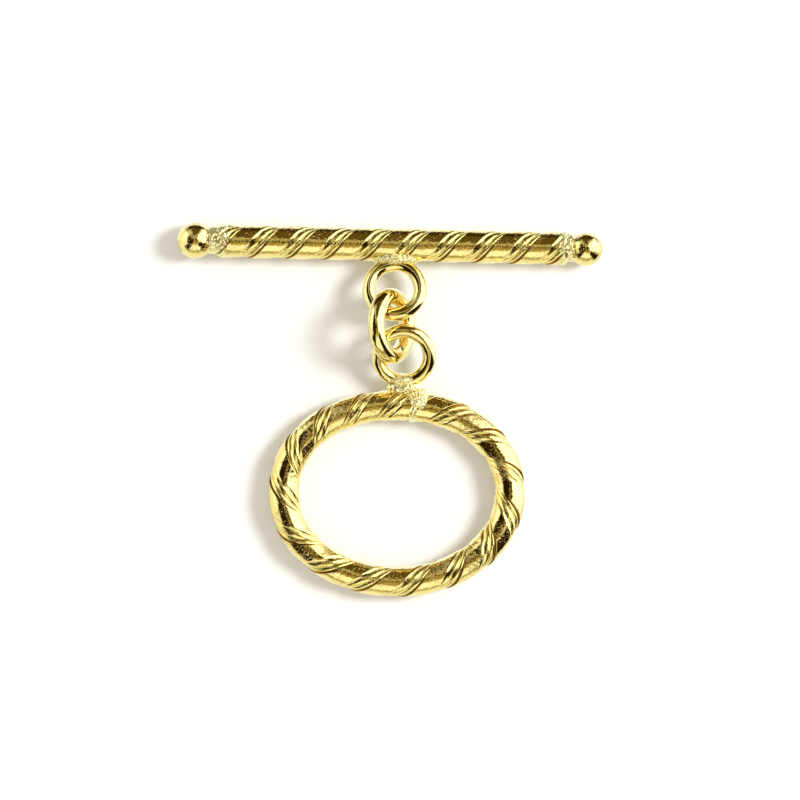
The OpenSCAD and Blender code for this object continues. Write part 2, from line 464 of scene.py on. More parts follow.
@dataclass(frozen=True)
class BallEnd:
    """A ball on the end of the bar, its neck, and the grainy solder that runs over both."""

    d: float
    neck_l: float
    grain_from: float
    grain_to: float
    start_fade: float = 0.2
    end_fade: float = 0.3

    @property
    def r(self) -> float:
        """Radius of the ball."""
        return self.d / 2.0

    def outline(self, off: np.ndarray) -> np.ndarray:
        """Radius of the ball at distances from its middle along the bar, or 0 past its poles."""
        return np.sqrt(np.maximum(self.r**2 - off**2, 0.0))

    def rope_share(self, off: np.ndarray) -> np.ndarray:
        """How full the rope is at distances from the ball's middle, rounding up from the neck."""
        rise = np.clip((off - self.r) / self.neck_l, 0.0, 1.0)
        return np.sqrt(1.0 - np.square(1.0 - rise))

    def solder_share(self, off: np.ndarray) -> np.ndarray:
        """How much solder lies at distances from the ball's middle, from 0 to 1."""
        near = smooth_step(off, self.grain_from - self.start_fade, self.grain_from + self.start_fade)
        return near * smooth_step(off, self.grain_to + self.end_fade, self.grain_to - self.end_fade)


@dataclass
class ToggleBar:
    """The toggle bar: a roped rod with a ball on each end, and a wire loop soldered to its middle."""

    rod_d: float = 2.33
    neck_d: float = 1.7
    pitch: float = 5.27
    skew: float = 1.3
    roll: float = 12.0
    left: BallEnd = field(default_factory=lambda: BallEnd(2.54, 0.6, 0.85, 2.35))
    right: BallEnd = field(default_factory=lambda: BallEnd(2.36, 0.3, 0.8, 1.9))
    loop_d: float = 4.56
    loop_wire_d: float = 0.96
    loop_x: float = 0.41
    loop_sink: float = 0.22
    pad: Vector = field(default_factory=lambda: Vector((1.66, 0.5, 0.86)))
    neck_blend: float = 0.12
    ball_blend: float = 0.16
    neck_fill: float = 0.2
    neck_fill_way: float = 50.0
    fill_blend: float = 0.2
    thin_grain: float = 0.25
    grain: float = 0.18
    grain_rise: float = 0.085
    # how dark the painted shade in the hollows between solder grains is
    grain_dark: float = 0.6
    grain_seed: float = 2.0
    solder_from: float = 0.5
    solder_ragged: float = 0.8
    rope_fade: float = 0.5
    pad_rise: float = 0.08
    fine_step: float = 0.045
    rod_step: float = 0.115
    ball_steps: int = 38
    section: RopeSection = field(default_factory=RopeSection)

    def place(self) -> Matrix:
        """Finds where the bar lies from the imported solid's box.

        Returns:
            The bar's middle and its turn on the table, in millimetres.
        """
        low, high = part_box(Node.BAR.value)
        low, high = low / MM, high / MM
        turn = Matrix.Rotation(math.radians(-self.skew), 4, "Z")
        left_ball = Vector((low.x + self.left.r, high.y - self.left.r, low.z + self.left.r))
        return Matrix.Translation(left_ball - turn @ Vector((self.ball_x()[0], 0.0, 0.0))) @ turn

    def ball_x(self) -> tuple[float, float]:
        """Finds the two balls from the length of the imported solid.

        Returns:
            Places of their middles along the bar, from the middle of its length.
        """
        low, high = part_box(Node.BAR.value)
        flat = (high.x - low.x) / MM - self.left.r - self.right.r
        half = (flat / math.cos(math.radians(self.skew)) + self.left.r + self.right.r) / 2.0
        return self.left.r - half, half - self.right.r

    def stations(self) -> np.ndarray:
        """Spreads the skin's rows along the bar, closer together over the balls and the solder.

        Returns:
            Their places, from the middle of the bar's length.
        """
        left_x, right_x = self.ball_x()
        turn = np.linspace(0.04, 0.5 * np.pi, self.ball_steps)
        left_end = left_x + self.left.grain_to + self.left.end_fade
        right_end = right_x - self.right.grain_to - self.right.end_fade
        fine_left = np.arange(left_x + self.fine_step, left_end, self.fine_step)
        fine_right = np.arange(right_x - self.fine_step, right_end, -self.fine_step)[::-1]
        rod = np.linspace(left_end, right_end, round((right_end - left_end) / self.rod_step))
        first = left_x - self.left.r * np.cos(turn)
        last = right_x + self.right.r * np.cos(turn[::-1])
        return np.concatenate([first, fine_left, rod, fine_right, last])

    def radii(self, x: np.ndarray, around: np.ndarray, way: np.ndarray) -> tuple[np.ndarray, np.ndarray]:
        """Distance of the skin from the bar's axis.

        Args:
            x: places along the bar, as a column.
            around: angles from a thick strand's middle, as a row.
            way: angles from the far side towards the top, of each point.

        Returns:
            The radii before the grain, and how strong the grain is there.
        """
        left_x, right_x = self.ball_x()
        left_off, right_off = x - left_x, right_x - x
        full = self.left.rope_share(left_off) * self.right.rope_share(right_off)
        rope = self.rod_d / 2.0 * self.section.share(around) * full
        between = (left_off > 0.0) & (right_off > 0.0)
        neck = np.where(between, self.neck_d / 2.0, 0.0)
        body = smooth_max(rope, neck, self.neck_blend)
        solder = self.left.solder_share(left_off) + self.right.solder_share(right_off)
        side = 0.5 + 0.5 * np.cos(np.radians(way - self.neck_fill_way))
        body = smooth_max(body, (neck + self.neck_fill * side) * solder, self.fill_blend)
        ball = np.maximum(self.left.outline(left_off), self.right.outline(right_off))
        grainy = solder * (self.thin_grain + (1.0 - self.thin_grain) * side)
        return smooth_max(body, ball, self.ball_blend), grainy

    def rod_mesh(self) -> bpy.types.Mesh:
        """Makes the skin over the rod, its necks and both balls.

        Returns:
            The closed mesh, with solder in ragged patches on the necks.
        """
        x = self.stations()[:, None]
        around = self.section.angles()[None, :]
        way = around + 90.0 - 360.0 * x / self.pitch
        radius, solder = self.radii(x, around, way)
        turn = np.radians(way)
        zero = np.zeros_like(turn)
        unit = np.stack([zero, np.cos(turn), np.sin(turn)], axis=-1)
        spine = np.stack([x + zero, zero, zero], axis=-1)
        plain = spine + radius[..., None] * unit
        rough = solder > 0.01
        rise = np.zeros_like(radius)
        rise[rough] = grains(plain[rough], self.grain, self.grain_seed) - 0.5
        rows = spine + (radius + self.grain_rise * rise * solder)[..., None] * unit
        place = self.place()
        left_x, right_x = self.ball_x()
        ends = np.array([[left_x - self.left.r, 0.0, 0.0], [right_x + self.right.r, 0.0, 0.0]])
        matrix, shift = np.array(place.to_3x3()).T, np.array(place.translation)
        left_foot, right_foot = left_x + self.left.r, right_x - self.right.r
        roped = smooth_step(x, left_foot, left_foot + self.rope_fade)
        roped = roped * smooth_step(x, right_foot, right_foot - self.rope_fade)
        # painted shade in the hollows between solder grains, and in the rope's creases
        hollows = self.grain_dark * solder * (0.5 - rise) ** 2
        tarnish = np.maximum(self.section.tarnish(around) * roped, hollows)
        marks = {PAINTED_SHADE: tarnish, SATIN: self.section.satin(around) * roped}
        mesh = swept("bar_rod", rows @ matrix + shift, ends @ matrix + shift, Skin.ROPE, marks)
        soldered = solder[:-1] * (1.0 + self.solder_ragged * rise[:-1]) > self.solder_from
        kinds = np.full(len(mesh.polygons), Skin.ROPE.value)
        kinds[: soldered.size] = np.where(soldered, Skin.SOLDER.value, Skin.ROPE.value).reshape(-1)
        mesh.attributes[SKIN].data.foreach_set("value", kinds)
        return mesh

    def loop_place(self) -> Matrix:
        """Frame at the foot of the loop: X along the bar, -Y out along the loop."""
        roll = Matrix.Rotation(math.radians(-self.roll), 4, "X")
        return self.place() @ Matrix.Translation((self.loop_x, 0.0, 0.0)) @ roll

    def build(self) -> bpy.types.Object:
        """Builds the bar as one fused body.

        Returns:
            The new object.
        """
        foot = self.loop_place()
        reach = self.rod_d / 2.0 + self.loop_d / 2.0 - self.loop_sink
        loop = WireRing.at_foot(foot, -reach, self.loop_d, self.loop_wire_d, seed=4.0)
        pad_reach = (self.rod_d / 2.0 + reach - self.loop_d / 2.0) / 2.0
        spot = foot @ Matrix.Translation((0.0, -pad_reach, 0.0))
        pad = SolderLump(spot, self.pad, rise=self.pad_rise)
        meshes = [self.rod_mesh(), loop.mesh("bar_loop", Skin.WIRE), pad.mesh("bar_pad")]
        return fused("gold_bar", meshes)


@dataclass
class JumpRing:
    """The plain wire ring that links the two loops."""

    wire_d: float = 1.2
    d: float = 5.34
    tilt: float = 59.0
    turn: float = 2.0

    def build(self) -> bpy.types.Object:
        """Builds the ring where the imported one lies.

        Returns:
            The new object.
        """
        low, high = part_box(Node.LINK.value)
        tilt, turn = math.radians(self.tilt), math.radians(self.turn)
        level = math.cos(tilt)
        across = Vector((math.cos(turn) * level, math.sin(turn) * level, -math.sin(tilt)))
        up = Vector((-math.sin(turn), math.cos(turn), 0.0))
        middle = (low + high) / (2.0 * MM)
        wire = WireRing(middle, across, up, self.d, self.wire_d, seed=7.0, sides=48)
        return fused("gold_jump_ring", [wire.mesh("jump_ring_wire", Skin.WIRE)])


@dataclass
class ToggleRing:
    """The oval ring: the same roped rod bent round, closed at a soldered seam, with its own loop."""

    length: float = 18.1
    width: float = 14.6
    rod_d: float = 2.15
    fullness: float = 2.1
    pitch: float = 5.76
    phase: float = 84.0
    seam_at: float = 1.2
    seam_gap: float = 0.2
    loop_d: float = 4.56
    loop_wire_d: float = 0.96
    loop_x: float = 0.49
    loop_gap: float = 0.2
    lift: float = 12.5
    neck: Vector = field(default_factory=lambda: Vector((1.15, 0.58, 0.57)))
    neck_drop: float = 0.22
    bead: Vector = field(default_factory=lambda: Vector((0.6, 1.15, 1.12)))
    cap: Vector = field(default_factory=lambda: Vector((0.85, 0.93, 0.98)))
    cap_shift: Vector = field(default_factory=lambda: Vector((0.28, 0.35, 0.25)))
    smear: Vector = field(default_factory=lambda: Vector((1.3, 0.4, 0.57)))
    smear_shift: Vector = field(default_factory=lambda: Vector((-0.15, 0.12, 0.0)))
    rod_step: float = 0.115
    line_steps: int = 1440
    line_reach: float = 0.05
    section: RopeSection = field(default_factory=RopeSection)
    slips: tuple[tuple[float, float], ...] = (
        (0.0, 0.0),
        (2.5, -0.2),
        (18.0, -0.2),
        (21.0, 0.0),
        (25.0, 0.35),
        (30.0, 0.45),
        (34.0, 1.0),
        (37.0, 0.95),
        (40.0, 0.75),
        (45.0, 0.4),
    )

    def half_axes(self) -> tuple[float, float]:
        """Half of the length and of the width of the rod's centre line."""
        return (self.length - self.rod_d) / 2.0, (self.width - self.rod_d) / 2.0

    def loop_reach(self) -> float:
        """Distance of the loop's middle from the rod's axis."""
        return self.rod_d / 2.0 + self.loop_d / 2.0 + self.loop_gap

    def middle(self, record: dict) -> Vector:
        """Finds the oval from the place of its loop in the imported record.

        Args:
            record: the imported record.

        Returns:
            The oval's middle, in millimetres.
        """
        place = next(m["pos_m"] for m in record["mounts"] if m["name"] == "ring_loop")
        lift = math.radians(self.lift)
        reach = self.loop_reach()
        _, b = self.half_axes()
        away = Vector((self.loop_x, b + reach * math.cos(lift), reach * math.sin(lift)))
        return Vector(place) / MM - away

    def oval(self, turn: np.ndarray) -> np.ndarray:
        """Works out the rod's centre line, whose upper half is a little fuller than an ellipse.

        Args:
            turn: angles clockwise from the top, in radians.

        Returns:
            Points of the line, from the oval's middle.
        """
        a, b = self.half_axes()
        sine, cosine = np.sin(turn), np.cos(turn)
        power = np.where(cosine > 0.0, 2.0 / self.fullness, 1.0)
        x = a * np.sign(sine) * np.abs(sine) ** power
        y = b * np.sign(cosine) * np.abs(cosine) ** power
        return np.stack([x, y, np.zeros_like(x)], axis=-1)

    def along(self, lengths: np.ndarray) -> tuple[np.ndarray, np.ndarray]:
        """Places on the centre line, and the ways out from them.

        Args:
            lengths: distances along the line clockwise from the top, in millimetres.

        Returns:
            The points, and the level unit vectors that point out of the oval.
        """
        turn = np.linspace(-2.0 * np.pi, 4.0 * np.pi, 6 * self.line_steps + 1)
        points = self.oval(turn)
        steps = np.linalg.norm(np.diff(points, axis=0), axis=1)
        table = np.concatenate([[0.0], np.cumsum(steps)])
        table -= np.interp(0.0, turn, table)
        place = self.oval(np.interp(lengths, table, turn))
        ahead = self.oval(np.interp(lengths + self.line_reach, table, turn))
        ahead -= self.oval(np.interp(lengths - self.line_reach, table, turn))
        out = np.stack([-ahead[..., 1], ahead[..., 0], 0.0 * ahead[..., 0]], axis=-1)
        return place, out / np.linalg.norm(out, axis=-1)[..., None]

    def round_length(self) -> float:
        """Length of the centre line once round."""
        turn = np.linspace(0.0, 2.0 * np.pi, self.line_steps + 1)
        return float(np.linalg.norm(np.diff(self.oval(turn), axis=0), axis=1).sum())

    def slip(self, lengths: np.ndarray) -> np.ndarray:
        """How much further round the grooves lie than in an even twist, as the hand left them."""
        at, by = zip(*self.slips)
        return np.interp(lengths, at, by)

    def rod_mesh(self, middle: Vector) -> bpy.types.Mesh:
        """Makes the roped rod from one side of the seam round to the other.

        Args:
            middle: middle of the oval, in millimetres.

        Returns:
            The closed mesh.
        """
        start = self.seam_at + self.seam_gap / 2.0
        run = self.round_length() - self.seam_gap
        lengths = np.linspace(start, start + run, round(run / self.rod_step))
        place, out = self.along(lengths)
        around = self.section.angles()[None, :]
        twisted = (lengths - self.slip(lengths) - start)[:, None] / self.pitch
        turn = np.radians(self.phase - 90.0 - around - 360.0 * twisted)
        radius = self.rod_d / 2.0 * self.section.share(around)
        up = np.array([0.0, 0.0, 1.0])
        way = np.cos(turn)[..., None] * out[:, None, :] + np.sin(turn)[..., None] * up
        rows = np.array(middle) + place[:, None, :] + radius[..., None] * way
        even = np.zeros_like(turn)
        # painted shade in the creases, and satin on the thin wires
        marks = {PAINTED_SHADE: self.section.tarnish(around) + even, SATIN: self.section.satin(around) + even}
        return swept("ring_rod", rows, np.array(middle) + place[[0, -1]], Skin.ROPE, marks)

    def seam(self, middle: Vector) -> list[SolderLump]:
        """Lays the solder on the rod's seam.

        Args:
            middle: middle of the oval, in millimetres.

        Returns:
            The bead round the seam, a little above the rod, and the lump that stands on its outer side.
        """
        place, out = self.along(np.array([self.seam_at]))
        turn = Matrix.Rotation(math.atan2(-out[0, 0], out[0, 1]), 4, "Z")
        spot = middle + Vector(place[0])
        rise = Vector((0.0, 0.0, max(0.0, self.bead.z - self.rod_d / 2.0)))
        over = Matrix.Translation(spot + rise) @ turn
        beside = Matrix.Translation(spot) @ turn @ Matrix.Translation(self.cap_shift)
        bead = SolderLump(over, self.bead, seed=11.0, fineness=5)
        return [bead, SolderLump(beside, self.cap, grain=0.2, rise=0.1, seed=19.0)]

    def loop_solder(self, foot: Matrix) -> list[SolderLump]:
        """Lays the solder that holds the loop.

        Args:
            foot: frame at the foot of the loop, with Y out along the loop.

        Returns:
            The neck between the rod and the loop, and the solder that runs along the loop's wire.
        """
        reach = self.loop_reach()
        low = reach - self.loop_d / 2.0 + self.loop_wire_d / 4.0 - self.neck_drop
        limb = Vector((0.0, reach - (self.loop_d - self.loop_wire_d) / 2.0, 0.0))
        under = foot @ Matrix.Translation((0.0, low, 0.0))
        over = foot @ Matrix.Translation(limb + self.smear_shift)
        neck = SolderLump(under, self.neck, grain=0.17, rise=0.08, seed=17.0, fineness=5)
        return [neck, SolderLump(over, self.smear, grain=0.19, rise=0.09, seed=23.0, fineness=5)]

    def build(self, record: dict) -> bpy.types.Object:
        """Builds the oval ring as one fused body.

        Args:
            record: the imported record, which says where the loop is.

        Returns:
            The new object.
        """
        middle = self.middle(record)
        _, b = self.half_axes()
        lift = Matrix.Rotation(math.radians(self.lift), 4, "X")
        foot = Matrix.Translation(middle + Vector((self.loop_x, b, 0.0))) @ lift
        loop = WireRing.at_foot(foot, self.loop_reach(), self.loop_d, self.loop_wire_d, seed=13.0)
        lumps = self.loop_solder(foot) + self.seam(middle)
        names = ("ring_neck", "ring_loop_solder", "ring_seam", "ring_seam_cap")
        solder = [lump.mesh(name) for lump, name in zip(lumps, names)]
        meshes = [self.rod_mesh(middle), loop.mesh("ring_loop", Skin.WIRE), *solder]
        return fused("gold_oval_ring", meshes)


class Nodes:
    """Adds and links shader nodes in one node tree."""

    def __init__(self, tree: bpy.types.NodeTree) -> None:
        """Keeps the tree that nodes are added to."""
        self.tree = tree

    def add(self, kind: str, values: dict | None = None, **settings: object) -> bpy.types.Node:
        """Adds one node.

        Args:
            kind: the node's type, such as ShaderNodeMath.
            values: what goes into its inputs, by name or number: another node's output or a value.
            settings: the node's own settings, such as operation.

        Returns:
            The new node.
        """
        node = self.tree.nodes.new(kind)
        for name, value in settings.items():
            setattr(node, name, value)
        for name, value in (values or {}).items():
            socket = node.inputs[name]
            if isinstance(value, bpy.types.NodeSocket):
                self.tree.links.new(value, socket)
            else:
                socket.default_value = value
        return node

    def math(self, operation: str, *values: object, clamp: bool = False) -> bpy.types.NodeSocket:
        """Adds a Math node and gives its output."""
        node = self.add("ShaderNodeMath", dict(enumerate(values)), operation=operation, use_clamp=clamp)
        return node.outputs[0]

    def smooth(self, value: object, low: object, high: object) -> bpy.types.NodeSocket:
        """Adds a smooth rise.

        Args:
            value: what rises, as an output or a number.
            low: where the rise starts, at 0.
            high: where it ends, at 1.

        Returns:
            The node's output.
        """
        values = {"Value": value, "From Min": low, "From Max": high}
        node = self.add("ShaderNodeMapRange", values, interpolation_type="SMOOTHSTEP")
        return node.outputs["Result"]

    def blend(self, share: object, a: object, b: object) -> bpy.types.NodeSocket:
        """Adds a mix of two colours.

        Args:
            share: how much of b is in the mix, from 0 to 1.
            a: one colour, as an output or four numbers.
            b: the other colour.

        Returns:
            The node's output.
        """
        node = self.add("ShaderNodeMix", data_type="RGBA")
        for socket, value in zip([node.inputs[0], node.inputs[6], node.inputs[7]], [share, a, b]):
            if isinstance(value, bpy.types.NodeSocket):
                self.tree.links.new(value, socket)
            else:
                socket.default_value = value
        return node.outputs[2]

    def places(self) -> bpy.types.NodeSocket:
        """Adds the piece's own coordinates, and gives them in millimetres."""
        values = {0: self.add("ShaderNodeTexCoord").outputs["Object"], "Scale": 1.0 / MM}
        return self.add("ShaderNodeVectorMath", values, operation="SCALE").outputs[0]

    def noise(self, place: object, scale: object, detail: float) -> bpy.types.NodeSocket:
        """Adds a noise texture at places in millimetres, and gives its value."""
        values = {"Vector": place, "Scale": scale, "Detail": detail}
        return self.add("ShaderNodeTexNoise", values).outputs[0]

    def mark(self, name: str) -> bpy.types.NodeSocket:
        """Adds one of the marks that the meshes carry, and gives its value."""
        return self.add("ShaderNodeAttribute", attribute_name=name).outputs["Fac"]

    def give(self, taken: bpy.types.Node, values: Mapping[str, bpy.types.NodeSocket]) -> None:
        """Links outputs, by name, to the node that takes them."""
        for key, value in values.items():
            self.tree.links.new(value, taken.inputs[key])


def new_group(
    name: str,
    inputs: dict[str, object],
    outputs: dict[str, str],
) -> tuple[Nodes, dict, bpy.types.Node]:
    """Starts a shader node group.

    Args:
        name: name of the group.
        inputs: default value of each input: a number, or four numbers for a colour.
        outputs: socket type of each output.

    Returns:
        Its nodes, its inputs as sockets by name, and the node that takes its outputs.
    """
    tree = bpy.data.node_groups.new(name, "ShaderNodeTree")
    for key, value in inputs.items():
        kind = "NodeSocketFloat" if isinstance(value, float) else "NodeSocketColor"
        socket = tree.interface.new_socket(key, in_out="INPUT", socket_type=kind)
        socket.default_value = value
    for key, kind in outputs.items():
        tree.interface.new_socket(key, in_out="OUTPUT", socket_type=kind)
    nodes = Nodes(tree)
    given = nodes.add("NodeGroupInput")
    taken = nodes.add("NodeGroupOutput")
    return nodes, {key: given.outputs[key] for key in inputs}, taken


class GroupName(Enum):
    """Shader node groups that more than one material or card uses."""

    POLISH = "polished_metal"
    GRAIN = "solder_grain"
    CARD = "studio_card"


METAL_OUTPUTS = {
    "Color": "NodeSocketColor",
    "Roughness": "NodeSocketFloat",
    "Height": "NodeSocketFloat",
}


def polish_group() -> bpy.types.NodeTree:
    """Builds the group for hand polished metal: tone, gloss and fine unevenness over the surface.

    Returns:
        The group.
    """
    inputs = {
        "Color": (1.0, 0.78, 0.3, 1.0),
        "Deep Color": (0.8, 0.45, 0.1, 1.0),
        "Satin Color": (1.0, 0.76, 0.25, 1.0),
        "Tarnish Color": (0.24, 0.1, 0.014, 1.0),
        "Roughness": 0.06,
        "Haze": 0.08,
        "Satin": 0.0,
        "Pitting": 0.3,
        "Grain Size": 0.12,
    }
    nodes, given, taken = new_group(GroupName.POLISH.value, inputs, METAL_OUTPUTS)
    near = nodes.places()
    slow = nodes.noise(near, 0.8, 3.0)
    patch = nodes.noise(near, 3.2, 4.0)
    grain = nodes.noise(near, nodes.math("DIVIDE", 1.0, given["Grain Size"]), 2.0)
    fleck = nodes.noise(near, 9.0, 3.0)
    dark = nodes.mark(PAINTED_SHADE)
    thread = nodes.mark(SATIN)
    clouds = nodes.math("MULTIPLY", nodes.smooth(slow, 0.4, 0.75), 0.25)
    bright = nodes.blend(clouds, given["Color"], given["Deep Color"])
    spots = nodes.math("MULTIPLY", nodes.smooth(fleck, 0.5, 0.64), 0.3)
    mottled = nodes.blend(spots, bright, given["Deep Color"])
    pale = nodes.blend(thread, mottled, given["Satin Color"])
    # painted shade: the mark darkens creases and hollows towards the shade colour
    color = nodes.blend(dark, pale, given["Tarnish Color"])
    haze = nodes.math("MULTIPLY", nodes.smooth(patch, 0.45, 0.75), given["Haze"])
    pits = nodes.math("MULTIPLY", nodes.smooth(fleck, 0.53, 0.66), nodes.smooth(slow, 0.42, 0.58))
    worn = nodes.math("MULTIPLY_ADD", dark, 0.15, nodes.math("MULTIPLY", thread, given["Satin"]))
    even = nodes.math("ADD", worn, nodes.math("ADD", given["Roughness"], haze))
    rough = nodes.math("MULTIPLY_ADD", pits, given["Pitting"], even)
    waves = nodes.math("MULTIPLY", slow, 0.6)
    height = nodes.math("MULTIPLY_ADD", grain, nodes.smooth(patch, 0.35, 0.65), waves)
    nodes.give(taken, {"Color": color, "Roughness": rough, "Height": height})
    return nodes.tree


def grain_group() -> bpy.types.NodeTree:
    """Builds the group for rough solder: packed grains in height, tone and gloss.

    Returns:
        The group.
    """
    inputs = {
        "Color": (1.0, 0.8, 0.36, 1.0),
        "Deep Color": (0.95, 0.75, 0.28, 1.0),
        "Tarnish Color": (0.4, 0.22, 0.04, 1.0),
        "Roughness": 0.18,
        "Grain Size": 0.07,
    }
    nodes, given, taken = new_group(GroupName.GRAIN.value, inputs, METAL_OUTPUTS)
    near = nodes.places()
    scale = nodes.math("DIVIDE", 1.0, given["Grain Size"])
    cell = nodes.add("ShaderNodeTexVoronoi", {"Vector": near, "Scale": scale}).outputs["Distance"]
    fine = nodes.noise(near, 9.0, 4.0)
    # the gaps between grains take the deeper colour: painted shade in the hollows
    gap = nodes.smooth(cell, 0.35, 0.8)
    bright = nodes.blend(gap, given["Color"], given["Deep Color"])
    # painted shade from the mark, in the hollows between grains
    color = nodes.blend(nodes.mark(PAINTED_SHADE), bright, given["Tarnish Color"])
    rough = nodes.math("MULTIPLY_ADD", fine, 0.12, given["Roughness"])
    bumps = nodes.math("MULTIPLY", fine, 0.7)
    height = nodes.math("SUBTRACT", bumps, nodes.math("MULTIPLY", cell, cell))
    nodes.give(taken, {"Color": color, "Roughness": rough, "Height": height})
    return nodes.tree


@dataclass(frozen=True)
class Finish:
    """A metal finish: what goes into a shared group, and how deep the group's height reads."""

    name: str
    group: GroupName
    values: dict[str, object]
    depth: float
    metallic: float = 1.0

    def material(self) -> bpy.types.Material:
        """Makes the material, with the Principled shader and the bump outside the group.

        Returns:
            The new material.
        """
        made = bpy.data.materials.new(self.name)
        made.use_nodes = True
        made.node_tree.nodes.clear()
        nodes = Nodes(made.node_tree)
        group = nodes.add("ShaderNodeGroup", node_tree=bpy.data.node_groups[self.group.value])
        for key, value in self.values.items():
            group.inputs[key].default_value = value
        bump = nodes.add("ShaderNodeBump", {"Height": group.outputs["Height"], "Strength": 1.0})
        bump.inputs["Distance"].default_value = self.depth * MM
        values = {
            "Base Color": group.outputs["Color"],
            "Roughness": group.outputs["Roughness"],
            "Normal": bump.outputs["Normal"],
            "Metallic": self.metallic,
        }
        shader = nodes.add("ShaderNodeBsdfPrincipled", values)
        nodes.add("ShaderNodeOutputMaterial", {"Surface": shader.outputs[0]})
        return made


ROPE_GOLD = Finish(
    "rope_gold",
    GroupName.POLISH,
    {
        "Color": (1.0, 0.77, 0.3, 1.0),
        "Roughness": 0.06,
        "Haze": 0.07,
        "Satin": 0.12,
        "Pitting": 0.55,
        "Grain Size": 0.16,
    },
    0.012,
)
WIRE_GOLD = Finish(
    "bright_wire",
    GroupName.POLISH,
    {
        "Color": (0.91, 0.735, 0.305, 1.0),
        "Roughness": 0.03,
        "Haze": 0.03,
        "Pitting": 0.1,
        "Grain Size": 0.2,
    },
    0.004,
)
SOLDER_GOLD = Finish(
    "solder_gold",
    GroupName.GRAIN,
    {"Color": (1.0, 0.91, 0.5, 1.0), "Roughness": 0.1, "Grain Size": 0.12},
    0.006,
    0.8,
)
FINISHES = {Skin.ROPE: ROPE_GOLD, Skin.WIRE: WIRE_GOLD, Skin.SOLDER: SOLDER_GOLD}


def dress(piece: bpy.types.Object) -> None:
    """Gives each face of a piece the finish of its kind of surface.

    Args:
        piece: the piece, whose mesh says which kind each face is.
    """
    mesh = piece.data
    mesh.materials.clear()
    for skin in Skin:
        finish = FINISHES[skin]
        mesh.materials.append(bpy.data.materials.get(finish.name) or finish.material())
    kinds = np.zeros(len(mesh.polygons), dtype=np.int32)
    mesh.attributes[SKIN].data.foreach_get("value", kinds)
    mesh.polygons.foreach_set("material_index", kinds)


@dataclass(frozen=True)
class Card:
    """A light or dark card of the studio, as a patch of the surroundings.

    Azimuth is in degrees from +X towards +Y, and near and far are degrees from straight up. Light
    is how bright it is, where 1 is white paper.
    """

    azimuth: float
    half_width: float
    near: float
    far: float
    light: float
    soft: float = 4.0
    tint: tuple[float, float, float] = (1.0, 1.0, 1.0)

    def color(self) -> tuple[float, float, float, float]:
        """Gives the card's color as the metal mirrors it."""
        red, green, blue, solid = tent_tone(self.light)
        return (red * self.tint[0], green * self.tint[1], blue * self.tint[2], solid)


CARD_EDGES = ("Half Width", "Near", "Far")
CARD_ANGLES = ("Card Azimuth", *CARD_EDGES, "Soft")
WHITE_RED = 0.91
BROWN_RED = 0.88
BROWN_RED_POWER = 0.82
BROWN_BLUE_POWER = 1.65
TENT_GREEN = 1.01


def tent_tone(light: float) -> tuple[float, float, float, float]:
    """Works out the color of a card: brown where it is dark, and white from 1 up.

    Args:
        light: how light the card is, where 1 is white paper.

    Returns:
        The color as red, green, blue and 1.
    """
    if light >= 1.0:
        return (WHITE_RED * light, TENT_GREEN * light, light, 1.0)
    return (BROWN_RED * light**BROWN_RED_POWER, TENT_GREEN * light, light**BROWN_BLUE_POWER, 1.0)


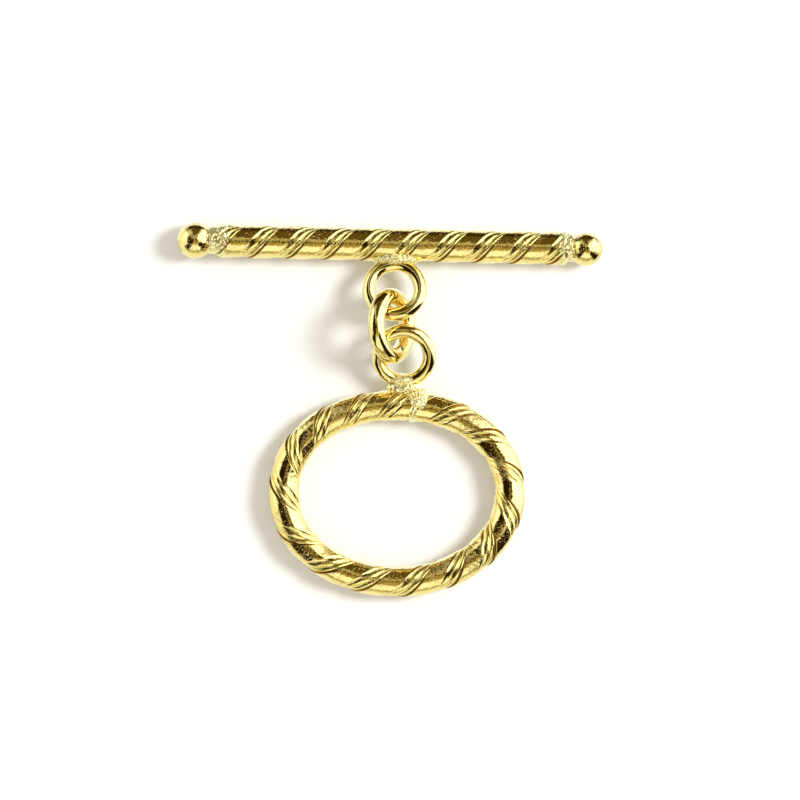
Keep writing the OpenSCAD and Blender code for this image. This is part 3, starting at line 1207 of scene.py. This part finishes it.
@dataclass
class Studio:
    """A white table in a light tent, seen from straight above.

    Sizes are in millimetres. The horizon is where the tent's wall meets the table as the metal
    mirrors them, in degrees from straight up.
    """

    view_middle: tuple[float, float] = (0.712, 0.684)
    view_width: float = 56.4
    camera_height: float = 300.0
    look_height: float = 1.2
    sensor_width: float = 36.0
    clip: tuple[float, float] = (10.0, 3000.0)
    floor_size: float = 900.0
    floor_color: tuple[float, float, float] = (0.9, 0.9, 0.895)
    floor_roughness: float = 0.9
    horizon: tuple[float, float] = (84.0, 96.0)
    tent: float = 1.05
    table: float = 1.12
    backdrop: tuple[float, float, float] = (1.0, 1.0, 1.0)
    fill: tuple[float, float, float] = (0.78, 0.73, 0.66)
    key_azimuth: float = 14.0
    key_zenith: float = 46.0
    key_distance: float = 420.0
    key_size: float = 150.0
    key_power: float = 1.4
    cards: tuple[Card, ...] = (
        # the table as the metal mirrors it: a dimmer -Y half, then a painted shadow on the left
        Card(-90.0, 90.0, 98.0, 190.0, 1.08, 6.0),
        Card(-165.0, 20.0, 128.0, 190.0, 0.7, 6.0),
        Card(-90.0, 58.0, 28.0, 71.0, 1.27, 3.0),
        Card(-90.0, 46.0, 71.0, 88.0, 0.42, 3.0),
        Card(-90.0, 50.0, 88.0, 98.0, 0.8, 3.0),
        Card(125.0, 14.0, 33.0, 78.0, 0.72, 4.0),
        # painted light: the table's +Y side, mirrored brighter
        Card(86.0, 60.0, 112.0, 190.0, 1.2, 4.0, (1.0, 1.05, 1.3)),
        Card(86.0, 27.0, 22.0, 104.0, 0.08, 5.0),
        Card(94.0, 40.0, 78.0, 100.0, 0.03, 3.0),
        Card(95.0, 38.0, 98.0, 110.0, 0.015, 2.5),
        Card(-138.0, 15.0, 16.0, 86.0, 0.012, 4.0),
        Card(-36.0, 18.0, 32.0, 110.0, 0.012, 4.0),
        Card(18.0, 32.0, 24.0, 112.0, 2.6, 4.0),
        Card(60.0, 32.0, 105.0, 115.0, 0.02, 2.0),
        Card(161.0, 27.0, 42.0, 86.0, 1.6, 4.0),
        Card(-90.0, 60.0, -10.0, 28.0, 0.36, 3.0, (1.15, 1.0, 0.6)),
        Card(86.0, 34.0, -10.0, 22.0, 0.46, 4.0, (1.1, 1.0, 0.75)),
        Card(180.0, 56.0, -10.0, 52.0, 0.012, 3.0),
        Card(2.0, 56.0, -10.0, 20.0, 0.012, 3.0),
    )

    def card_group(self) -> bpy.types.NodeTree:
        """Builds the group that says how much of a card is seen along a direction.

        Returns:
            The group.
        """
        inputs = dict.fromkeys(("Azimuth", "Zenith", *CARD_ANGLES), 0.0)
        nodes, given, taken = new_group(GroupName.CARD.value, inputs, {"Mask": "NodeSocketFloat"})
        turn = nodes.math("COSINE", nodes.math("SUBTRACT", given["Azimuth"], given["Card Azimuth"]))
        off = nodes.math("ARCCOSINE", turn)
        inner = {key: nodes.math("SUBTRACT", given[key], given["Soft"]) for key in CARD_EDGES}
        outer = {key: nodes.math("ADD", given[key], given["Soft"]) for key in CARD_EDGES}
        wide = nodes.smooth(off, outer["Half Width"], inner["Half Width"])
        past = nodes.smooth(given["Zenith"], inner["Near"], outer["Near"])
        short = nodes.smooth(given["Zenith"], outer["Far"], inner["Far"])
        mask = nodes.math("MULTIPLY", nodes.math("MULTIPLY", wide, past), short)
        nodes.give(taken, {"Mask": mask})
        return nodes.tree

    def surroundings(self) -> None:
        """Sets the light tent: the cards as the metal mirrors them, and plain light for the table."""
        world = bpy.data.worlds.new("light_tent")
        world.use_nodes = True
        world.node_tree.nodes.clear()
        nodes = Nodes(world.node_tree)
        way = nodes.add("ShaderNodeTexCoord").outputs["Generated"]
        parts = nodes.add("ShaderNodeSeparateXYZ", {0: way}).outputs
        zenith = nodes.math("ARCCOSINE", parts["Z"])
        azimuth = nodes.math("ARCTAN2", parts["Y"], parts["X"])
        below = nodes.smooth(zenith, *map(math.radians, self.horizon))
        color = nodes.blend(below, tent_tone(self.tent), tent_tone(self.table))
        group = self.card_group()
        for card in self.cards:
            mask = nodes.add("ShaderNodeGroup", node_tree=group)
            nodes.give(mask, {"Azimuth": azimuth, "Zenith": zenith})
            angles = (card.azimuth, card.half_width, card.near, card.far, card.soft)
            for key, angle in zip(CARD_ANGLES, angles):
                mask.inputs[key].default_value = math.radians(angle)
            color = nodes.blend(mask.outputs[0], color, card.color())
        rays = nodes.add("ShaderNodeLightPath").outputs
        lit = nodes.blend(rays["Is Diffuse Ray"], color, (*self.fill, 1.0))
        shown = nodes.blend(rays["Is Camera Ray"], lit, (*self.backdrop, 1.0))
        light = nodes.add("ShaderNodeBackground", {"Color": shown, "Strength": 1.0})
        nodes.add("ShaderNodeOutputWorld", {"Surface": light.outputs[0]})
        bpy.context.scene.world = world

    def floor(self) -> bpy.types.Object:
        """Makes the pale table top. The metal mirrors the tent's own pale lower half instead.

        Returns:
            The table top.
        """
        half = self.floor_size / 2.0 * MM
        mesh = bpy.data.meshes.new("table_top")
        corners = [(-half, -half, 0.0), (half, -half, 0.0), (half, half, 0.0), (-half, half, 0.0)]
        mesh.from_pydata(corners, [], [(0, 1, 2, 3)])
        top = bpy.data.objects.new("table_top", mesh)
        bpy.context.scene.collection.objects.link(top)
        made = bpy.data.materials.new("pale_table")
        made.use_nodes = True
        shader = made.node_tree.nodes["Principled BSDF"]
        shader.inputs["Base Color"].default_value = (*self.floor_color, 1.0)
        shader.inputs["Roughness"].default_value = self.floor_roughness
        shader.inputs["Specular IOR Level"].default_value = 0.0
        mesh.materials.append(made)
        top.visible_glossy = False
        return top

    def key_light(self) -> bpy.types.Object:
        """Hangs the soft lamp that throws the shadows. The metal mirrors the tent's cards instead.

        Returns:
            The lamp.
        """
        data = bpy.data.lights.new("key_light", "AREA")
        data.shape = "DISK"
        data.size = self.key_size * MM
        data.energy = self.key_power
        lamp = bpy.data.objects.new("key_light", data)
        bpy.context.scene.collection.objects.link(lamp)
        turn = Matrix.Rotation(math.radians(self.key_azimuth), 4, "Z")
        turn = turn @ Matrix.Rotation(math.radians(self.key_zenith), 4, "Y")
        lamp.matrix_world = turn @ Matrix.Translation((0.0, 0.0, self.key_distance * MM))
        lamp.visible_glossy = False
        return lamp

    def camera(self) -> bpy.types.Object:
        """Sets the camera straight above, with the photograph's frame.

        Returns:
            The camera.
        """
        data = bpy.data.cameras.new("camera")
        eye = bpy.data.objects.new("camera", data)
        bpy.context.scene.collection.objects.link(eye)
        eye.location = Vector((*self.view_middle, self.camera_height + self.look_height)) * MM
        data.sensor_width = self.sensor_width
        data.lens = self.sensor_width * self.camera_height / self.view_width
        data.clip_start, data.clip_end = (far * MM for far in self.clip)
        bpy.context.scene.camera = eye
        return eye

    def build(self) -> None:
        """Sets up the table, the tent, the camera and the picture's tone."""
        self.surroundings()
        self.floor()
        self.key_light()
        self.camera()
        bpy.context.scene.view_settings.view_transform = "Standard"


def place_piece(piece: bpy.types.Object, node: Node) -> None:
    """Dresses a piece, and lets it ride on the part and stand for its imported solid.

    Args:
        piece: the finished piece.
        node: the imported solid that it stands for.
    """
    dress(piece)
    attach(piece, "root")
    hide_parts(node.value)
    LOG.info("%s: %d faces", piece.name, len(piece.data.polygons))


def main() -> None:
    """Builds the studio and the three pieces."""
    logging.basicConfig(level=logging.INFO, format="%(message)s")
    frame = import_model()
    Studio().build()
    polish_group()
    grain_group()
    place_piece(ToggleBar().build(), Node.BAR)
    place_piece(JumpRing().build(), Node.LINK)
    place_piece(ToggleRing().build(frame["record"]), Node.OVAL)


if __name__ == "__main__":
    main()
